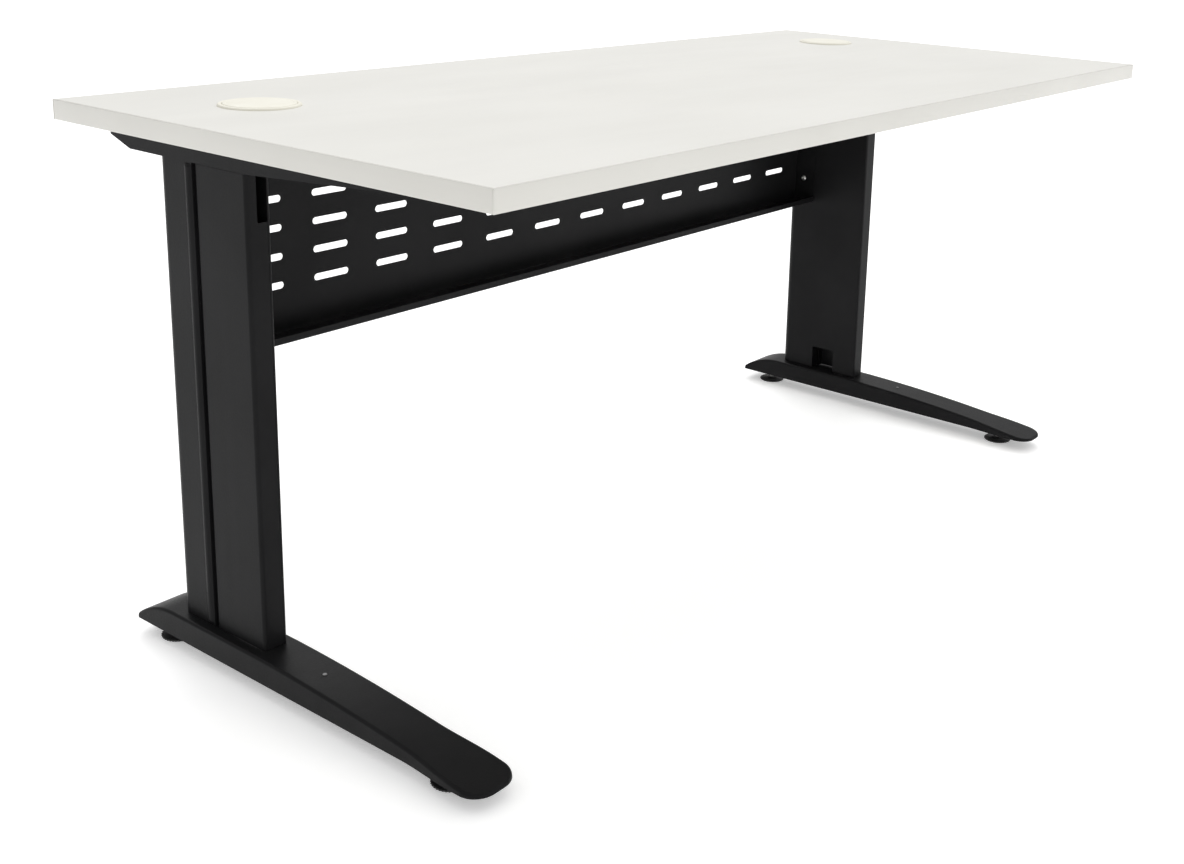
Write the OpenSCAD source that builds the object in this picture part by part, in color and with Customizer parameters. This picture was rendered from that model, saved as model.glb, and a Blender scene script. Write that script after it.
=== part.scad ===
// Cantilever office desk: melamine top on two C-shaped steel legs, joined by a
// slotted steel modesty panel. X runs along the desktop, Y towards its rear
// edge, Z up. The origin is on the floor under the middle of the desktop.

/* [Desktop] */
// Length of the desktop
desk_w = 1600; // [1300:20:2000]
// Depth of the desktop, front to rear
desk_d = 750; // [650:10:900]
// Height of the working surface above the floor
desk_h = 730; // [660:5:860]
// Thickness of the board
board_t = 25; // [18:1:30]
// Thickness of the edge bands
band_t = 2; // [1:0.5:3]

/* [Cable ports] */
// From the end of the desktop to the middle of a port
port_end = 155; // [120:5:300]
// From the rear edge to the middle of a port
port_rear = 195; // [90:5:250]
// Hole drilled in the board
port_hole_d = 80; // [60:1:90]
// Outer diameter of the ring's flange
port_flange_d = 100; // [96:1:110]
// Height of the ring's flange above the board
port_flange_t = 2.5; // [1.5:0.5:4]
// Wall of the ring's sleeve
port_sleeve_t = 2.5; // [1.5:0.5:4]
// Depth of the ring's sleeve in the board
port_sleeve_h = 17; // [10:1:17]
// Rim of the cap outside the sleeve, on the ring's seat
cap_rim = 5; // [3:0.5:6]
// Thickness of the cap
cap_t = 2.2; // [1.5:0.1:4]
// Depth of the cap's spigot in the sleeve
cap_spigot_h = 9; // [5:1:10]

/* [Legs] */
// From the end of the desktop to the middle of a leg
leg_end = 90; // [60:5:110]
// Thickness of a column, along the desktop
column_t = 33; // [28:1:44]
// Depth of a column, front to rear
column_d = 175; // [140:1:200]
// From the rear edge of the desktop to the rear of a column
column_rear = 98; // [80:1:140]
// Steel wall of a column
column_wall = 2; // [1.5:0.5:3]
// Depth of the closed tube at the rear of a column
tube_d = 71; // [45:1:80]
// Radius of the tube's rear corners
tube_r = 16; // [4:1:16]
// Width of the bead pressed along the tube
bead_w = 15; // [8:1:18]
// Height of the bead over the face
bead_h = 3; // [1:0.5:4]
// Width of the column's lip beside the cover
lip_w = 4; // [3:0.5:8]
// Length of the cable exit at the foot of a column
exit_l = 50; // [30:1:60]
// From the tube to the cable exit
exit_gap = 3; // [2:1:15]
// Height of the cable exit
exit_h = 46; // [30:1:70]

/* [Cable covers] */
// Thickness of a cover
cover_t = 1.5; // [1:0.1:2.5]
// Radius of the cover's front corner
cover_r = 5; // [4:0.5:12]
// Groove between the cover and the tube
groove_w = 6; // [3:1:16]
// Depth of the groove, to the flange that closes it
groove_depth = 4.5; // [4:0.5:10]
// Gap between the cover and the foot
cover_foot_gap = 1; // [1:1:20]
// Gap between the cover and the top arm
cover_arm_gap = 1; // [0.5:0.5:8]
// Return folded in at the rear of the cover
cover_return = 14; // [8:1:18]
// Width of the cable slot at the top of the cover
entry_w = 14; // [8:1:18]
// Height of the cable slot
entry_h = 60; // [40:1:100]
// Number of clips behind a cover
clips = 3; // [2:1:5]

/* [Top arms] */
// Depth of an arm at the column
arm_h = 39; // [30:1:50]
// Depth of an arm at its front end
arm_front_h = 15; // [13:1:25]
// Depth of an arm at its rear end
arm_rear_h = 25; // [18:1:28]
// Length of the sloping end at the rear
arm_slope = 41; // [25:1:60]
// Steel wall of an arm
arm_wall = 2; // [1.5:0.5:3]
// From the front edge of the desktop to the arm
arm_front = 85; // [50:5:150]
// From the rear edge of the desktop to the arm
arm_rear = 3; // [2:1:20]

/* [Feet] */
// Height of a foot's top under the column
foot_h = 54; // [46:1:65]
// Height of a foot's front tip
foot_front_h = 24; // [22:1:30]
// Height of a foot's rear tip
foot_rear_h = 26; // [23:1:32]
// Height of a foot's lower edge
foot_low = 20; // [18:1:21]
// Width of a foot behind its toe
foot_w = 62; // [54:1:76]
// Width of a foot at its toe
foot_toe_w = 72; // [70:1:96]
// Radius of the front corners, seen from above
foot_r = 28; // [10:1:34]
// Rise of the front part's arch over a straight line
foot_bulge = 6; // [1:0.5:12]
// Steel thickness of a foot
foot_t = 3; // [2:0.5:3]
// From the front edge of the desktop to the foot's tip
foot_front = 83; // [50:5:150]
// From the rear edge of the desktop to the foot's end
foot_rear = 13; // [0:1:40]

/* [Glides] */
// Diameter of a glide's base
glide_d = 50; // [40:1:56]
// Height of a glide's base
glide_h = 6; // [4:0.5:6]
// Diameter of a glide's stud
stud_d = 8; // [6:1:10]
// Radial clearance between the stud and its thread
stud_gap = 0.05; // [0.02:0.01:0.1]
// Height of the nut under its plate
nut_h = 4.5; // [3:0.5:4.5]
// Steel thickness of the plate that holds the nut
plate_t = 3; // [2:0.5:3]
// From the foot's front tip to the front glide
glide_front = 77; // [50:1:90]
// From the foot's rear end to the rear glide
glide_rear = 51; // [40:1:70]

/* [Modesty panel] */
// Steel thickness of the panel
panel_t = 1.2; // [1:0.1:2]
// Gap between the board and the top of the panel
panel_gap = 50; // [45:1:80]
// Height of the panel
panel_h = 252; // [200:1:300]
// Rear face of the panel, in from the rear of the columns
panel_inset = 13; // [2:1:20]
// Depth of the end flanges and of the cable ledge
panel_fold = 45; // [30:1:46]
// Height of the ledge's front lip
panel_lip = 10; // [6:1:16]
// Depth of the fold along the top
panel_top_fold = 15; // [10:1:20]
// Length of a slot
slot_l = 59; // [30:1:70]
// Height of a slot
slot_h = 9.75; // [6:0.25:14]
// Slot spacing along the desk
slot_dx = 109; // [90:1:130]
// Slot spacing upwards
slot_dz = 39.6; // [30:0.2:45]
// Rows of slots
slot_rows = 4; // [2:1:5]
// Least metal beside the end slots
slot_margin = 45; // [30:1:80]
// Shift of the slot pattern from the middle of the panel
slot_shift = 12; // [0:1:15]

/* [Hidden] */

$fn = 64;

// Overshoot of a cut past the face it opens
cut = 1;

// Levels
board_z = desk_h - board_t;
arm_z = board_z - arm_h;
column_top = board_z - arm_wall;
cover_low = foot_h + cover_foot_gap;
cover_top = arm_z - cover_arm_gap;
panel_top = board_z - panel_gap;
panel_low = panel_top - panel_h;

// Places across the desk
leg_x = desk_w / 2 - leg_end;
port_x = desk_w / 2 - port_end;
port_y = desk_d / 2 - port_rear;

// Places along a column, front to rear
column_back = desk_d / 2 - column_rear;
column_front = column_back - column_d;
tube_front = column_back - tube_d;
cover_back = tube_front - groove_w;
exit_back = tube_front - exit_gap;

// Places along an arm and a foot
arm_y0 = -desk_d / 2 + arm_front;
arm_y1 = desk_d / 2 - arm_rear;
foot_y0 = -desk_d / 2 + foot_front;
foot_y1 = desk_d / 2 - foot_rear;

// Half sizes
half_t = column_t / 2;
inner_x = leg_x - half_t;

// The front of the foot's top is an arc that rises foot_bulge over its chord
seat = 2;
arc_y = column_front - seat;
arc_run = arc_y - foot_y0;
arc_drop = foot_h - foot_front_h;
arc_chord = sqrt(arc_run * arc_run + arc_drop * arc_drop);
arc_r = (arc_chord * arc_chord / 4 + foot_bulge * foot_bulge) / (2 * foot_bulge);
arc_down = arc_r - foot_bulge;
arc_cy = (arc_y + foot_y0) / 2 + arc_down * arc_drop / arc_chord;
arc_cz = (foot_h + foot_front_h) / 2 - arc_down * arc_run / arc_chord;

// The rear of the foot's top is an arc tangent to the seat under the column
tail_y = column_back + seat;
tail_run = foot_y1 - tail_y;
tail_drop = foot_h - foot_rear_h;
tail_r = (tail_run * tail_run + tail_drop * tail_drop) / (2 * tail_drop);

function arch_z(y) = arc_cz + sqrt(arc_r * arc_r - (y - arc_cy) * (y - arc_cy));

// A foot is at its widest over the pad, and narrows over the flare behind it
toe_pad = 50;
toe_flare = 70;

// Port ring and cap
port_gap = 0.2;
sleeve_r = port_hole_d / 2 - port_gap;
bore_r = sleeve_r - port_sleeve_t;
flange_chamfer = port_flange_t * 0.6;
cap_gap = 0.4;
seat_depth = 1.2;
cap_r = sleeve_r + cap_rim - cap_gap;
cap_chamfer = cap_t * 0.4;
spigot_r = bore_r - cap_gap;
spigot_t = 1.8;

// Board fixings
screw_r = 3;
screw_head_r = 6;
screw_head_h = 4;
screw_hole_r = 3.3;
screw_reach = 12;
insert_r = 5;
insert_h = 13;
insert_gap = 1;
screw_tip = 35;
screw_mid = 190;
screw_ahead = 45;
screw_behind = 43;
screw_ys = [
    arm_y0 + screw_tip,
    arm_y0 + screw_mid,
    column_front - screw_ahead,
    column_back + screw_behind
];

// Panel fixings
panel_back = column_back - panel_inset;
panel_bolt_in = 20;
panel_bolt_y = panel_back - panel_bolt_in;
panel_bolt_up = 45.6;
panel_bolt_zs = [panel_low + panel_bolt_up, panel_top - panel_bolt_up];
bolt_r = 3;
bolt_head_r = 5.5;
bolt_crown_r = 4.1;
bolt_head_h = 3.3;
bolt_reach = 13;
nut_body_r = 4.5;
nut_bulge_r = 5.4;
nut_bulge_h = 8;

// Foot fixings
foot_bolt_r = 4;
foot_bolt_head_r = 7;
foot_bolt_head_h = 5.3;
base_plate_t = 6;
foot_bolt_in = tube_d * 0.27;
foot_bolt_ys = [tube_front + foot_bolt_in, column_back - foot_bolt_in];
plug_r = 3;
plug_h = 1;
plug_seat = 0.8;
plug_shank_r = 2;
plug_ahead = 92;
plug_y = arc_y - plug_ahead;

// Glides
plate_up = 0.5;
plate_z = foot_low + plate_up;
plate_half = 20;
hex_r = 7.5;
stud_short = 1.5;
stud_top = plate_z + plate_t - stud_short;
stud_sunk = 3;
glide_chamfer = 1;
glide_wall = glide_h / 2;
glide_hub_r = 10;
glide_ys = [foot_y0 + glide_front, foot_y1 - glide_rear];

// A cover's edges beside the column's lip and flange, and the clips behind the cover
lip_gap = 0.5;
cover_gap = 0.5;
cover_x = lip_w - half_t + lip_gap;
clip_d = 12;
clip_h = 20;
clip_gap = 0.3;

// Colours
white = [0.93, 0.93, 0.90];
cream = [0.90, 0.89, 0.84];
black = [0.10, 0.10, 0.11];
plastic = [0.07, 0.07, 0.07];
steel = [0.62, 0.63, 0.65];

// ---- Helpers ----

// Side 1 is the right end of the desk, side -1 the left, as a mirror image
module on_side(side) {
    mirror([side < 0 ? 1 : 0, 0, 0]) children();
}

// A box between two corners
module block(a, b) {
    translate(a) cube(b - a);
}

// A profile drawn in Y and Z, extruded along X about the middle
module across(width) {
    translate([-width / 2, 0, 0]) rotate([90, 0, 90]) linear_extrude(width) children();
}

// A rectangle whose far corner, at the largest x and y, is round
module corner_rect(x0, y0, x1, y1, r) {
    translate([x0, y0]) square([x1 - x0 - r, y1 - y0]);
    translate([x0, y0]) square([x1 - x0, y1 - y0 - r]);
    translate([x1 - r, y1 - r]) circle(r);
}

// ---- Desktop ----

module desktop_board() {
    color(white) difference() {
        block([-desk_w / 2 + band_t, -desk_d / 2 + band_t, board_z],
              [desk_w / 2 - band_t, desk_d / 2 - band_t, desk_h]);
        for (s = [-1, 1]) {
            translate([s * port_x, port_y, board_z - cut]) cylinder(d = port_hole_d, h = board_t + 2 * cut);
            for (y = screw_ys)
                translate([s * leg_x, y, board_z - cut]) cylinder(r = insert_r, h = insert_h + insert_gap + cut);
        }
    }
}

module long_band(side) {
    y0 = side < 0 ? -desk_d / 2 : desk_d / 2 - band_t;
    color(white) block([-desk_w / 2, y0, board_z], [desk_w / 2, y0 + band_t, desk_h]);
}

module end_band(side) {
    x0 = side < 0 ? -desk_w / 2 : desk_w / 2 - band_t;
    color(white) block([x0, -desk_d / 2 + band_t, board_z], [x0 + band_t, desk_d / 2 - band_t, desk_h]);
}

module top_inserts() {
    color(steel) for (s = [-1, 1]) for (y = screw_ys)
        translate([s * leg_x, y, board_z]) difference() {
            cylinder(r = insert_r, h = insert_h);
            translate([0, 0, -cut]) cylinder(r = screw_r, h = insert_h + 2 * cut);
        }
}

module top_screws() {
    color(steel) for (s = [-1, 1]) for (y = screw_ys)
        translate([s * leg_x, y, column_top]) {
            translate([0, 0, -screw_head_h]) cylinder(r = screw_head_r, h = screw_head_h);
            translate([0, 0, -screw_head_h]) cylinder(r = screw_r, h = screw_head_h + arm_wall + screw_reach);
        }
}

// ---- Cable ports ----

module port_ring(side) {
    color(cream) translate([side * port_x, port_y, desk_h]) rotate_extrude($fn = 96) difference() {
        union() {
            translate([bore_r, -port_sleeve_h]) square([port_sleeve_t, port_sleeve_h + port_flange_t]);
            polygon([
                [bore_r, 0],
                [port_flange_d / 2, 0],
                [port_flange_d / 2, port_flange_t - flange_chamfer],
                [port_flange_d / 2 - flange_chamfer, port_flange_t],
                [bore_r, port_flange_t]
            ]);
        }
        translate([bore_r - cut, port_flange_t - seat_depth]) square([cap_r + cap_gap - bore_r + cut, seat_depth + cut]);
    }
}

module port_cap(side) {
    seat_z = port_flange_t - seat_depth;
    color(cream) translate([side * port_x, port_y, desk_h + seat_z]) rotate_extrude($fn = 96) {
        polygon([
            [0, 0],
            [cap_r, 0],
            [cap_r, cap_t - cap_chamfer],
            [cap_r - cap_chamfer, cap_t],
            [0, cap_t]
        ]);
        translate([spigot_r - spigot_t, -cap_spigot_h]) square([spigot_t, cap_spigot_h + cap_t / 2]);
    }
}

// ---- Top arms ----

// Pressed channel, open below, closed along its sloping rear end
module top_arm(side) {
    inner_w = column_t;
    rise = arm_h - arm_rear_h;
    skin = arm_wall * sqrt(arm_slope * arm_slope + rise * rise) / arm_slope;
    slope_y = arm_y1 - arm_slope;
    color(black) on_side(side) translate([leg_x, 0, 0]) difference() {
        across(inner_w + 2 * arm_wall) polygon([
            [arm_y0, board_z],
            [arm_y0, board_z - arm_front_h],
            [column_front - arm_wall, arm_z],
            [slope_y, arm_z],
            [arm_y1, board_z - arm_rear_h],
            [arm_y1, board_z]
        ]);
        across(inner_w) polygon([
            [arm_y0 + arm_wall, column_top],
            [arm_y0 + arm_wall, arm_z - cut],
            [slope_y, arm_z - cut],
            [slope_y, arm_z + skin],
            [arm_y1 - arm_wall, board_z - arm_rear_h + skin],
            [arm_y1 - arm_wall, column_top]
        ]);
        for (y = screw_ys)
            translate([0, y, column_top - cut]) cylinder(r = screw_hole_r, h = arm_wall + 2 * cut);
    }
}

// ---- Columns ----

module tube_outline(inset) {
    for (s = [0, 1]) mirror([s, 0])
        corner_rect(0, tube_front + inset, half_t - inset, column_back - inset, tube_r - inset);
}

// Closed tube at the rear, open cable channel in front of it
module column_section() {
    difference() {
        tube_outline(0);
        tube_outline(column_wall);
    }
    translate([-half_t, column_front]) square([column_wall, tube_front - column_front + column_wall]);
    translate([-half_t, column_front]) square([lip_w, column_wall]);
    translate([half_t - groove_depth - column_wall, cover_back + cover_gap])
        square([column_wall, groove_w - cover_gap + column_wall]);
}

module bead_section() {
    bead_r = (bead_w * bead_w / 4 + bead_h * bead_h) / (2 * bead_h);
    intersection() {
        translate([half_t + bead_h - bead_r, tube_front + bead_w / 2]) circle(bead_r);
        translate([half_t - column_wall / 2, tube_front]) square([column_wall / 2 + bead_h, bead_w]);
    }
}

module column(side) {
    color(black) on_side(side) translate([leg_x, 0, 0]) difference() {
        union() {
            translate([0, 0, foot_h]) linear_extrude(column_top - foot_h) column_section();
            translate([0, 0, foot_h + seat]) linear_extrude(arm_z - foot_h - 2 * seat) bead_section();
        }
        block([-half_t - cut, exit_back - exit_l, foot_h - cut], [0, exit_back, foot_h + exit_h]);
        for (z = panel_bolt_zs)
            translate([-half_t - cut, panel_bolt_y, z]) rotate([0, 90, 0])
                cylinder(r = nut_body_r, h = column_wall + 2 * cut);
    }
}

// ---- Cable covers ----

module cover_outline(inset) {
    mirror([0, 1]) corner_rect(cover_x, -cover_back + inset, half_t - inset,
                               -column_front - inset, cover_r - inset);
}

module cable_cover(side) {
    color(black) on_side(side) translate([leg_x, 0, 0]) difference() {
        translate([0, 0, cover_low]) linear_extrude(cover_top - cover_low) difference() {
            cover_outline(0);
            cover_outline(cover_t);
            translate([cover_x - cut, column_front + cover_t])
                square([half_t - cover_return - cover_x + cut, cover_back - column_front - cover_t + cut]);
        }
        block([cover_x - cut, column_front - cut, cover_top - entry_h],
              [cover_x + entry_w, column_front + cover_t + cut, cover_top + cut]);
    }
}

// Plastic blocks on the column's web, just in front of the cover's return
module cover_clips(side) {
    clip_y = cover_back - cover_t - clip_gap;
    run = cover_top - cover_low - 2 * clip_h;
    color(plastic) on_side(side) for (i = [0 : clips - 1])
        translate([leg_x, 0, cover_low + clip_h + run * (i + 0.5) / clips])
            block([-half_t + column_wall, clip_y - clip_d, -clip_h / 2],
                  [half_t - cover_t - cover_return / 2, clip_y, clip_h / 2]);
}

// ---- Feet ----

// A foot seen from above, with its edge moved in by an inset
module foot_plan(inset) {
    mid = foot_w / 2 - inset;
    toe = foot_toe_w / 2 - inset;
    r = foot_r - inset;
    y0 = foot_y0 + inset;
    y1 = foot_y1 - inset;
    pad_y = foot_y0 + toe_pad;
    translate([-mid, y0 + r]) square([2 * mid, y1 - y0 - r]);
    translate([-toe, y0 + r]) square([2 * toe, pad_y - y0 - r]);
    translate([-toe + r, y0]) square([2 * (toe - r), r]);
    for (s = [-1, 1]) translate([s * (toe - r), y0 + r]) circle(r);
    polygon([[-toe, pad_y], [toe, pad_y], [mid, pad_y + toe_flare], [-mid, pad_y + toe_flare]]);
}

// A foot seen from the side, in Y and Z, with its top moved down by an inset
module foot_side(inset, low) {
    top = foot_h - inset;
    intersection() {
        translate([foot_y0 - cut, low]) square([arc_y - foot_y0 + cut, top - low]);
        translate([arc_cy, arc_cz]) circle(arc_r - inset, $fn = 2880);
    }
    translate([arc_y, low]) square([tail_y - arc_y, top - low]);
    intersection() {
        translate([tail_y, low]) square([tail_run + cut, top - low]);
        translate([tail_y, foot_h - tail_r]) circle(tail_r - inset, $fn = 360);
    }
}

module foot_solid(inset, low) {
    intersection() {
        translate([0, 0, low]) linear_extrude(foot_h - low) foot_plan(inset);
        across(foot_toe_w + 2 * cut) foot_side(inset, low);
    }
}

// Pressed shell, open below
module foot(side) {
    color(black) on_side(side) translate([leg_x, 0, 0]) difference() {
        foot_solid(0, foot_low);
        foot_solid(foot_t, foot_low - cut);
        for (y = foot_bolt_ys)
            translate([0, y, foot_low]) cylinder(r = foot_bolt_r, h = foot_h);
        translate([0, plug_y, foot_low]) cylinder(r = plug_shank_r, h = foot_h);
        translate([0, plug_y, arch_z(plug_y) - plug_seat]) cylinder(r = plug_r, h = foot_h);
    }
}

// Plate inside the foot of the tube, welded in and tapped for the foot's bolts
module base_plate(side) {
    color(steel) on_side(side) translate([leg_x, 0, foot_h]) difference() {
        linear_extrude(base_plate_t) tube_outline(column_wall);
        for (y = foot_bolt_ys)
            translate([0, y, -cut]) cylinder(r = foot_bolt_r, h = base_plate_t + 2 * cut);
    }
}

module foot_bolts() {
    color(steel) for (s = [-1, 1]) for (y = foot_bolt_ys)
        translate([s * leg_x, y, foot_h - foot_t]) {
            translate([0, 0, -foot_bolt_head_h]) cylinder(r = foot_bolt_head_r, h = foot_bolt_head_h, $fn = 6);
            translate([0, 0, -foot_bolt_head_h])
                cylinder(r = foot_bolt_r, h = foot_bolt_head_h + foot_t + base_plate_t);
        }
}

// Plugs in the feet's jig holes
module foot_plugs() {
    color(plastic) for (s = [-1, 1])
        translate([s * leg_x, plug_y, arch_z(plug_y) - plug_seat]) {
            rotate_extrude() polygon([
                [0, 0],
                [plug_r, 0],
                [plug_r, plug_seat + plug_h / 2],
                [plug_r - plug_h / 2, plug_seat + plug_h],
                [0, plug_seat + plug_h]
            ]);
            translate([0, 0, -foot_t]) cylinder(r = plug_shank_r, h = foot_t + plug_seat);
        }
}

// ---- Glides ----

// Plates across the inside of a foot, over its two glides
module glide_plates(side) {
    color(steel) on_side(side) translate([leg_x, 0, plate_z]) for (y = glide_ys)
        difference() {
            linear_extrude(plate_t) intersection() {
                foot_plan(foot_t);
                translate([-foot_toe_w, y - plate_half]) square([2 * foot_toe_w, 2 * plate_half]);
            }
            translate([0, y, -cut]) cylinder(d = stud_d + 2 * stud_gap, h = plate_t + 2 * cut);
        }
}

module glide_nuts() {
    color(steel) for (s = [-1, 1]) for (y = glide_ys)
        translate([s * leg_x, y, plate_z - nut_h]) difference() {
            cylinder(r = hex_r, h = nut_h, $fn = 6);
            translate([0, 0, -cut]) cylinder(d = stud_d + 2 * stud_gap, h = nut_h + 2 * cut);
        }
}

module glide_stud(side, y) {
    z0 = glide_h - stud_sunk;
    color(steel) translate([side * leg_x, y, z0]) cylinder(d = stud_d, h = stud_top - z0);
}

module glide_base(side, y) {
    r = glide_d / 2;
    color(plastic) translate([side * leg_x, y, 0]) difference() {
        rotate_extrude() polygon([
            [0, 0],
            [r - glide_chamfer, 0],
            [r, glide_chamfer],
            [r, glide_wall],
            [glide_hub_r, glide_h],
            [0, glide_h]
        ]);
        translate([0, 0, glide_h - stud_sunk]) cylinder(d = stud_d, h = stud_sunk + cut);
    }
}

// ---- Modesty panel ----

module slot() {
    for (s = [-1, 1]) translate([s * (slot_l - slot_h) / 2, 0]) circle(d = slot_h);
    square([slot_l - slot_h, slot_h], center = true);
}

// Folded sheet: face, end flanges, ledge with a lip below, fold along the top
module modesty_panel() {
    front = panel_back - panel_fold;
    cols = floor((2 * inner_x - 2 * slot_margin - slot_l) / slot_dx) + 1;
    mid_z = (panel_low + panel_top) / 2;
    color(black) difference() {
        union() {
            block([-inner_x, panel_back - panel_t, panel_low], [inner_x, panel_back, panel_top]);
            block([-inner_x, front, panel_low], [inner_x, panel_back, panel_low + panel_t]);
            block([-inner_x, front, panel_low], [inner_x, front + panel_t, panel_low + panel_lip]);
            block([-inner_x, panel_back - panel_top_fold, panel_top - panel_t], [inner_x, panel_back, panel_top]);
            for (s = [-1, 1]) {
                x = s < 0 ? -inner_x : inner_x - panel_t;
                block([x, front, panel_low], [x + panel_t, panel_back, panel_top]);
            }
        }
        for (i = [0 : cols - 1]) for (j = [0 : slot_rows - 1])
            translate([
                slot_shift + (i - (cols - 1) / 2) * slot_dx,
                panel_back + cut,
                mid_z + (j - (slot_rows - 1) / 2) * slot_dz
            ]) rotate([90, 0, 0]) linear_extrude(panel_t + 2 * cut) slot();
        for (s = [-1, 1]) for (z = panel_bolt_zs)
            translate([s * inner_x, panel_bolt_y, z]) rotate([0, 90, 0])
                cylinder(r = bolt_r, h = 4 * panel_t, center = true);
    }
}

// Bolts driven outwards through the end flanges into the columns
module panel_bolts() {
    color(steel) for (s = [-1, 1]) for (z = panel_bolt_zs) on_side(s)
        translate([inner_x - panel_t, panel_bolt_y, z]) rotate([0, 90, 0]) {
            translate([0, 0, -bolt_head_h]) cylinder(r1 = bolt_crown_r, r2 = bolt_head_r, h = bolt_head_h);
            cylinder(r = bolt_r, h = bolt_reach);
        }
}

// Rivet nuts in the columns' inner walls
module panel_nuts() {
    color(steel) for (s = [-1, 1]) for (z = panel_bolt_zs) on_side(s)
        translate([inner_x, panel_bolt_y, z]) rotate([0, 90, 0]) difference() {
            union() {
                cylinder(r = nut_body_r, h = column_wall);
                translate([0, 0, column_wall]) cylinder(r = nut_bulge_r, h = nut_bulge_h);
            }
            translate([0, 0, -cut]) cylinder(r = bolt_r, h = column_wall + nut_bulge_h + 2 * cut);
        }
}

desktop_board();
long_band(-1);  // edge_band_front
long_band(1);  // edge_band_rear
end_band(-1);  // edge_band_left
end_band(1);  // edge_band_right
port_ring(-1);  // port_ring_left
port_ring(1);  // port_ring_right
port_cap(-1);  // port_cap_left
port_cap(1);  // port_cap_right
top_inserts();
top_screws();
top_arm(-1);  // top_arm_left
top_arm(1);  // top_arm_right
column(-1);  // column_left
column(1);  // column_right
cable_cover(-1);  // cable_cover_left
cable_cover(1);  // cable_cover_right
cover_clips(-1);  // cover_clips_left
cover_clips(1);  // cover_clips_right
base_plate(-1);  // base_plate_left
base_plate(1);  // base_plate_right
foot(-1);  // foot_left
foot(1);  // foot_right
foot_bolts();
foot_plugs();
glide_plates(-1);  // glide_plates_left
glide_plates(1);  // glide_plates_right
glide_nuts();
glide_stud(-1, glide_ys[0]);  // glide_stud_front_left
glide_stud(1, glide_ys[0]);  // glide_stud_front_right
glide_stud(-1, glide_ys[1]);  // glide_stud_rear_left
glide_stud(1, glide_ys[1]);  // glide_stud_rear_right
glide_base(-1, glide_ys[0]);  // glide_base_front_left
glide_base(1, glide_ys[0]);  // glide_base_front_right
glide_base(-1, glide_ys[1]);  // glide_base_rear_left
glide_base(1, glide_ys[1]);  // glide_base_rear_right
modesty_panel();
panel_bolts();
panel_nuts();
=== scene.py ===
import math

import bmesh
import bpy
from mathutils import Euler, Matrix, Vector


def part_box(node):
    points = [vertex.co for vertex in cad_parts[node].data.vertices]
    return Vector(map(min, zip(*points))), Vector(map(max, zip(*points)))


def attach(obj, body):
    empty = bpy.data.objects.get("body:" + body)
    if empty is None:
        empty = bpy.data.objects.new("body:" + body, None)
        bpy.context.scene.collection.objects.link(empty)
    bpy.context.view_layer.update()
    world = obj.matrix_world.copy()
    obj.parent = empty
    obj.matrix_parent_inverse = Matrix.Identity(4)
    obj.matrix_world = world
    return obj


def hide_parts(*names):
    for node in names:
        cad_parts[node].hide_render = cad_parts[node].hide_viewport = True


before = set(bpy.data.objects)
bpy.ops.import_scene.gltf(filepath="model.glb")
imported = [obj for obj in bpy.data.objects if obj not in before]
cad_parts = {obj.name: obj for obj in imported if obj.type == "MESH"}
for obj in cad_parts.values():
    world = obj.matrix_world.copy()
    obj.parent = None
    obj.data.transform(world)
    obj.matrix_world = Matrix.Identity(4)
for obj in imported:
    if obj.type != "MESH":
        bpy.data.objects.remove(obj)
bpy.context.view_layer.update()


# ---------------------------------------------------------------------------
# Desktop board. One slab of 25 mm chipboard with a sheet of pale melamine
# pressed on each face, and two round holes drilled through near the rear
# corners for the cable ports.
# ---------------------------------------------------------------------------
port_hole_radius = 0.040
port_steps = 128
hole_overshoot = 0.005
same_place = 0.000001
looks_up_or_down = 0.5
noise_low = 0.3
noise_high = 0.7

melamine_pale = (0.720, 0.711, 0.672, 1)
melamine_shade = (0.685, 0.676, 0.636, 1)
melamine_specular = 0.4
melamine_roughness = (0.36, 0.46)
clouds_per_metre = 3
cloud_stretch = (1, 2.5, 1)
wipes_per_metre = 5
wipe_stretch = (1, 4, 1)
pearl_per_metre = 900
pearl_depth = 0.00006

chip_pale = (0.42, 0.29, 0.17, 1)
chip_dark = (0.22, 0.14, 0.08, 1)
chip_roughness = 0.9
flakes_per_metre = 420
flake_depth = 0.0005


def new_finish(name, **fixed):
    """A material whose even values sit on its shader, with its tree and the piece's own places."""
    finish = bpy.data.materials.new(name)
    finish.use_nodes = True
    tree = finish.node_tree
    shader = tree.nodes["Principled BSDF"]
    for socket, value in fixed.items():
        shader.inputs[socket.replace("_", " ")].default_value = value
    place = tree.nodes.new("ShaderNodeTexCoord").outputs["Object"]
    return finish, tree, shader, place


def add(tree, kind, sockets, **settings):
    """A node with its settings made and its sockets filled or linked."""
    made = tree.nodes.new(kind)
    for setting, value in settings.items():
        setattr(made, setting, value)
    for socket, value in sockets.items():
        if isinstance(value, bpy.types.NodeSocket):
            tree.links.new(value, made.inputs[socket])
        else:
            made.inputs[socket].default_value = value
    return made


def mottle(tree, place, scale, detail=2, stretch=(1, 1, 1)):
    """Soft random patches, so many to the metre along each direction."""
    stretched = add(tree, "ShaderNodeMapping", {"Vector": place, "Scale": stretch})
    noise = {"Vector": stretched.outputs["Vector"], "Scale": scale, "Detail": detail}
    return add(tree, "ShaderNodeTexNoise", noise).outputs["Fac"]


def between(tree, value, low, high):
    """The middle of a random pattern spread from low to high."""
    limits = {"Value": value, "From Min": noise_low, "From Max": noise_high,
              "To Min": low, "To Max": high}
    return add(tree, "ShaderNodeMapRange", limits).outputs["Result"]


def tones(tree, share, first, second):
    """The first colour turning into the second as share goes from 0 to 1."""
    mixed = add(tree, "ShaderNodeMix", {0: share, 6: first, 7: second}, data_type="RGBA")
    return mixed.outputs[2]


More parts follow.
